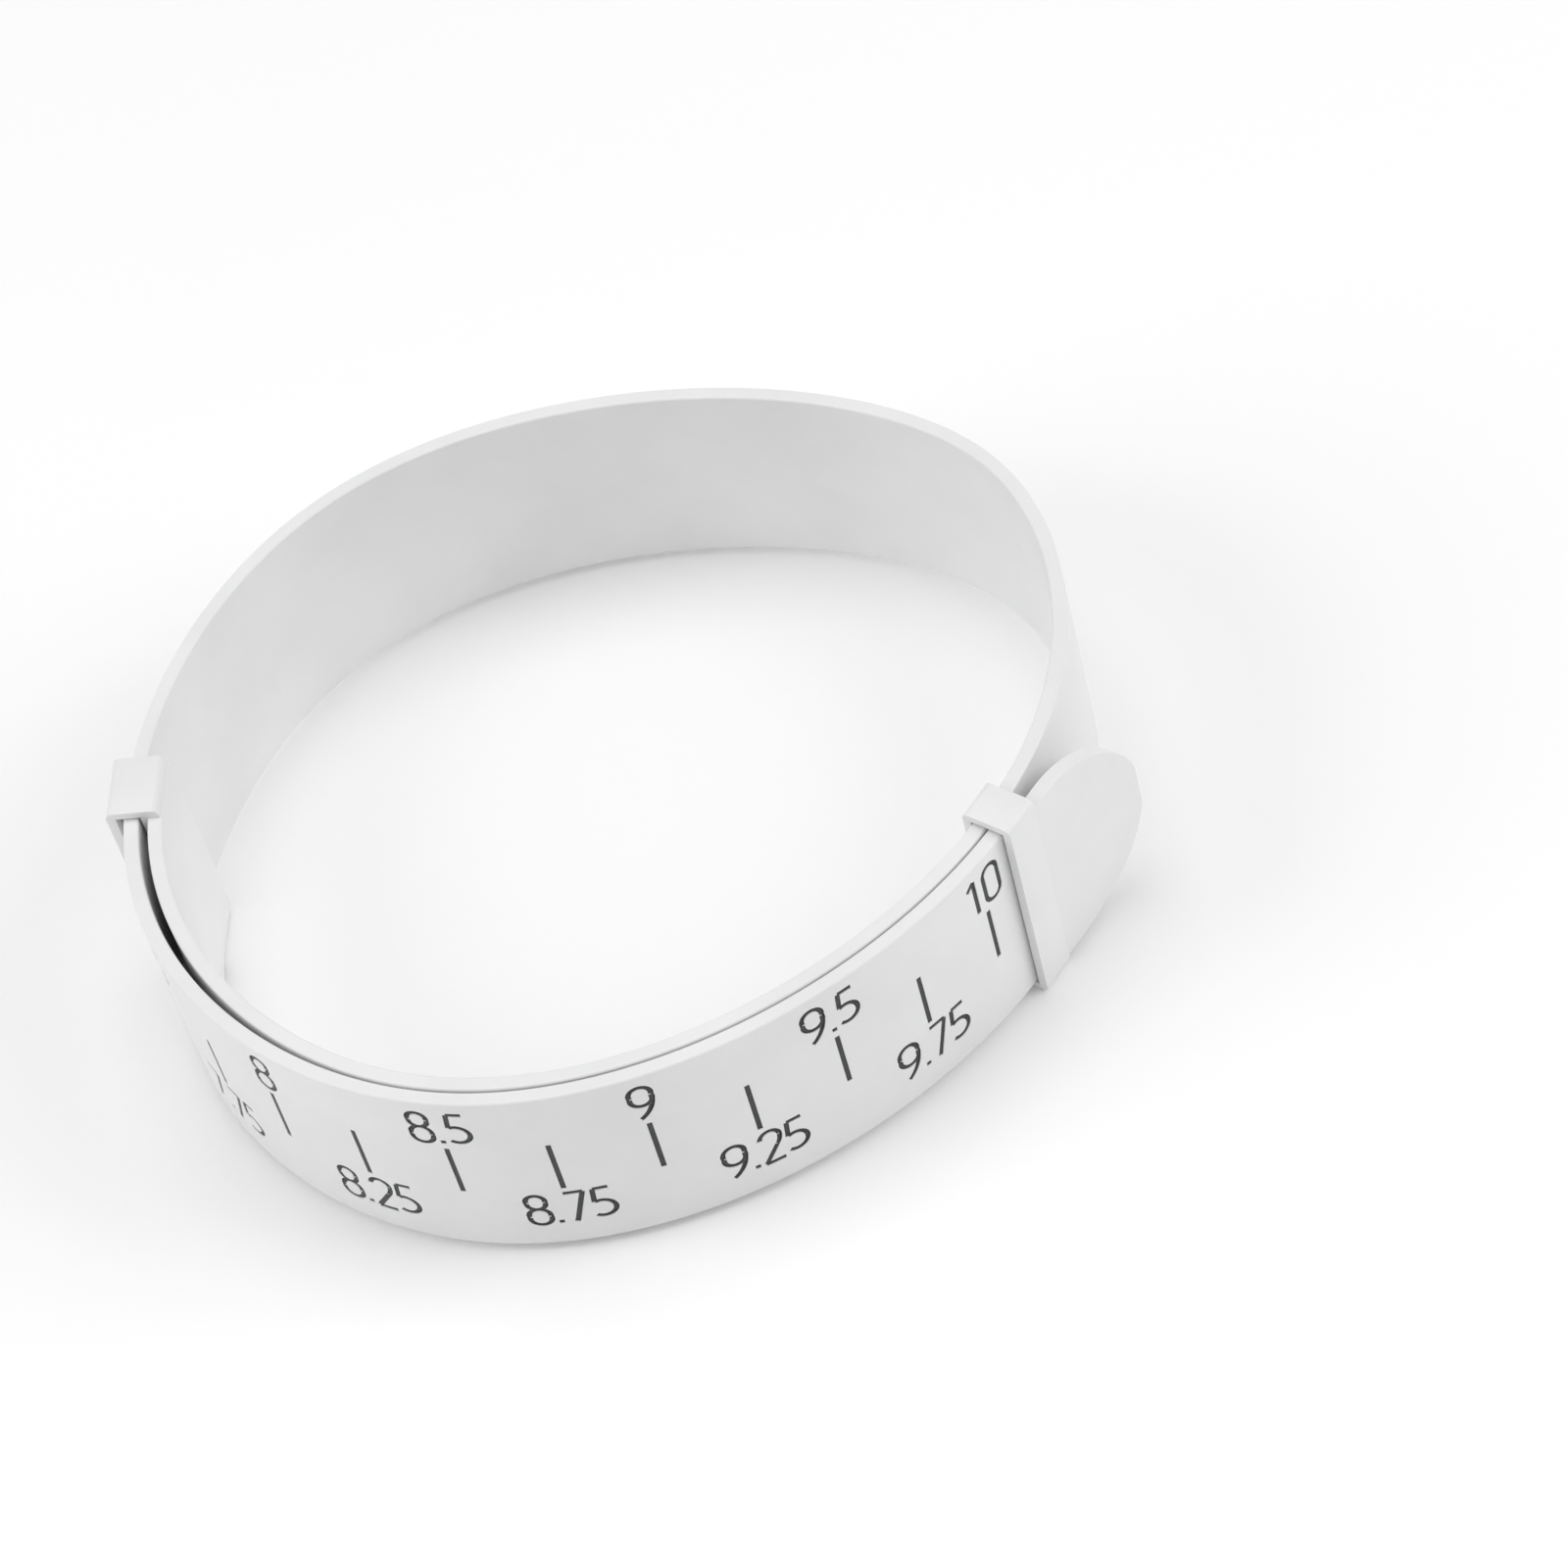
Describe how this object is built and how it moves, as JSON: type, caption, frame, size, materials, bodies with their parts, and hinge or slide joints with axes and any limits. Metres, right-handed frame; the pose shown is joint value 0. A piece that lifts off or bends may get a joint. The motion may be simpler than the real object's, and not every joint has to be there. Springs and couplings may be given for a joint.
{
  "type": "adjustable wrist sizer band",
  "caption": "Adjustable wrist sizer: a flexible plastic strap wound into a ring, with an inch scale, a sliding loop at each end and a thumb tab.",
  "frame": {"origin": "middle of the bounding box in plan, on the surface that the two loops stand on", "axes": "+Z is the ring's axis, -Y the front with the visible end of the scale, +X to the right along the longest side"},
  "size_m": [0.0654, 0.0568, 0.017],
  "materials": {
    "strap_plastic": "satin moulded plastic",
    "scale_ink": "paint filled into the engraving"
  },
  "bodies": {
    "inner_end": {"inner_end_strap": "strap_plastic", "inner_loop": "strap_plastic"},
    "link_01": {"strap_link_01": "strap_plastic"},
    "link_02": {"strap_link_02": "strap_plastic"},
    "link_03": {"strap_link_03": "strap_plastic"},
    "link_04": {"strap_link_04": "strap_plastic"},
    "link_05": {"strap_link_05": "strap_plastic"},
    "link_06": {"strap_link_06": "strap_plastic"},
    "link_07": {"strap_link_07": "strap_plastic"},
    "link_08": {"strap_link_08": "strap_plastic"},
    "link_09": {"strap_link_09": "strap_plastic"},
    "link_10": {"strap_link_10": "strap_plastic"},
    "link_11": {"strap_link_11": "strap_plastic"},
    "link_12": {"strap_link_12": "strap_plastic", "mark_6_00": "scale_ink", "mark_6_25": "scale_ink"},
    "link_13": {"strap_link_13": "strap_plastic", "mark_6_50": "scale_ink", "mark_6_75": "scale_ink"},
    "link_14": {"strap_link_14": "strap_plastic", "mark_7_00": "scale_ink", "mark_7_25": "scale_ink"},
    "link_15": {"strap_link_15": "strap_plastic", "mark_7_50": "scale_ink", "mark_7_75": "scale_ink"},
    "link_16": {"strap_link_16": "strap_plastic", "mark_8_00": "scale_ink", "mark_8_25": "scale_ink"},
    "link_17": {"strap_link_17": "strap_plastic", "mark_8_50": "scale_ink", "mark_8_75": "scale_ink"},
    "link_18": {"strap_link_18": "strap_plastic", "mark_9_00": "scale_ink", "mark_9_25": "scale_ink"},
    "link_19": {"strap_link_19": "strap_plastic", "mark_9_50": "scale_ink", "mark_9_75": "scale_ink"},
    "outer_end": {"outer_end_strap": "strap_plastic", "outer_loop": "strap_plastic", "thumb_tab": "strap_plastic", "mark_10_00": "scale_ink"}
  },
  "joints": [
    {"name": "strap_bend_01", "type": "hinge", "parent": "link_01", "child": "inner_end", "pos_m": [-0.02844, -0.00939, 0.0085], "axis": [0, 0, 1], "range_deg": [-0.61, 4.95]},
    {"name": "strap_bend_02", "type": "hinge", "parent": "link_02", "child": "link_01", "pos_m": [-0.02175, -0.02004, 0.0085], "axis": [0, 0, 1], "range_deg": [-1.77, 14.63]},
    {"name": "strap_bend_03", "type": "hinge", "parent": "link_03", "child": "link_02", "pos_m": [-0.01077, -0.0261, 0.0085], "axis": [0, 0, 1], "range_deg": [-1.32, 10.82]},
    {"name": "strap_bend_04", "type": "hinge", "parent": "link_04", "child": "link_03", "pos_m": [0.00184, -0.02618, 0.0085], "axis": [0, 0, 1], "range_deg": [-0.69, 5.6]},
    {"name": "strap_bend_05", "type": "hinge", "parent": "link_05", "child": "link_04", "pos_m": [0.01371, -0.02182, 0.0085], "axis": [0, 0, 1], "range_deg": [-0.26, 0.049]},
    {"name": "strap_bend_06", "type": "hinge", "parent": "link_06", "child": "link_05", "pos_m": [0.02356, -0.0139, 0.0085], "axis": [0, 0, 1], "range_deg": [-4.81, 0.59]},
    {"name": "strap_bend_07", "type": "hinge", "parent": "link_07", "child": "link_06", "pos_m": [0.02959, -0.00284, 0.0085], "axis": [0, 0, 1], "range_deg": [-1.43, 0.19]},
    {"name": "strap_bend_08", "type": "hinge", "parent": "link_08", "child": "link_07", "pos_m": [0.02992, 0.00972, 0.0085], "axis": [0, 0, 1], "range_deg": [-1.32, 10.81]},
    {"name": "strap_bend_09", "type": "hinge", "parent": "link_09", "child": "link_08", "pos_m": [0.02297, 0.02005, 0.0085], "axis": [0, 0, 1], "range_deg": [-2.06, 17.03]},
    {"name": "strap_bend_10", "type": "hinge", "parent": "link_10", "child": "link_09", "pos_m": [0.01175, 0.02584, 0.0085], "axis": [0, 0, 1], "range_deg": [-1.23, 10.12]},
    {"name": "strap_bend_11", "type": "hinge", "parent": "link_11", "child": "link_10", "pos_m": [-0.00073, 0.02793, 0.0085], "axis": [0, 0, 1], "range_deg": [-3.11, 0.39]},
    {"name": "strap_bend_12", "type": "hinge", "parent": "link_12", "child": "link_11", "pos_m": [-0.01319, 0.02587, 0.0085], "axis": [0, 0, 1], "range_deg": [-7.38, 0.9]},
    {"name": "strap_bend_13", "type": "hinge", "parent": "link_13", "child": "link_12", "pos_m": [-0.02341, 0.01856, 0.0085], "axis": [0, 0, 1], "range_deg": [-0.4, 3.17]},
    {"name": "strap_bend_14", "type": "hinge", "parent": "link_14", "child": "link_13", "pos_m": [-0.02967, 0.0076, 0.0085], "axis": [0, 0, 1], "range_deg": [-1.69, 13.94]},
    {"name": "strap_bend_15", "type": "hinge", "parent": "link_15", "child": "link_14", "pos_m": [-0.03108, -0.00492, 0.0085], "axis": [0, 0, 1], "range_deg": [-1.26, 10.38]},
    {"name": "strap_bend_16", "type": "hinge", "parent": "link_16", "child": "link_15", "pos_m": [-0.02645, -0.01661, 0.0085], "axis": [0, 0, 1], "range_deg": [-0.51, 4.13]},
    {"name": "strap_bend_17", "type": "hinge", "parent": "link_17", "child": "link_16", "pos_m": [-0.01704, -0.02497, 0.0085], "axis": [0, 0, 1], "range_deg": [-0.61, 5.1]},
    {"name": "strap_bend_18", "type": "hinge", "parent": "link_17", "child": "link_18", "pos_m": [-0.00483, -0.02795, 0.0085], "axis": [0, 0, -1], "range_deg": [-1.65, 0.22]},
    {"name": "strap_bend_19", "type": "hinge", "parent": "link_18", "child": "link_19", "pos_m": [0.00763, -0.02581, 0.0085], "axis": [0, 0, -1], "range_deg": [-4.16, 0.52]},
    {"name": "strap_bend_20", "type": "hinge", "parent": "link_19", "child": "outer_end", "pos_m": [0.0188, -0.01987, 0.0085], "axis": [0, 0, -1], "range_deg": [-0.47, 3.75]}
  ],
  "couplings": [
    {"joint": "strap_bend_01", "follows": "strap_bend_17", "ratio": 0.9663},
    {"joint": "strap_bend_02", "follows": "strap_bend_17", "ratio": 2.8626},
    {"joint": "strap_bend_03", "follows": "strap_bend_17", "ratio": 2.1165},
    {"joint": "strap_bend_04", "follows": "strap_bend_17", "ratio": 1.0939},
    {"joint": "strap_bend_05", "follows": "strap_bend_17", "ratio": -0.0471},
    {"joint": "strap_bend_06", "follows": "strap_bend_17", "ratio": -0.9383},
    {"joint": "strap_bend_07", "follows": "strap_bend_17", "ratio": -0.277},
    {"joint": "strap_bend_08", "follows": "strap_bend_17", "ratio": 2.1149},
    {"joint": "strap_bend_09", "follows": "strap_bend_17", "ratio": 3.3323},
    {"joint": "strap_bend_10", "follows": "strap_bend_17", "ratio": 1.9787},
    {"joint": "strap_bend_11", "follows": "strap_bend_17", "ratio": -0.606},
    {"joint": "strap_bend_12", "follows": "strap_bend_17", "ratio": -1.4416},
    {"joint": "strap_bend_13", "follows": "strap_bend_17", "ratio": 0.6178},
    {"joint": "strap_bend_14", "follows": "strap_bend_17", "ratio": 2.7268},
    {"joint": "strap_bend_15", "follows": "strap_bend_17", "ratio": 2.0295},
    {"joint": "strap_bend_16", "follows": "strap_bend_17", "ratio": 0.8058},
    {"joint": "strap_bend_18", "follows": "strap_bend_17", "ratio": -0.3197},
    {"joint": "strap_bend_19", "follows": "strap_bend_17", "ratio": -0.8117},
    {"joint": "strap_bend_20", "follows": "strap_bend_17", "ratio": 0.7315}
  ]
}
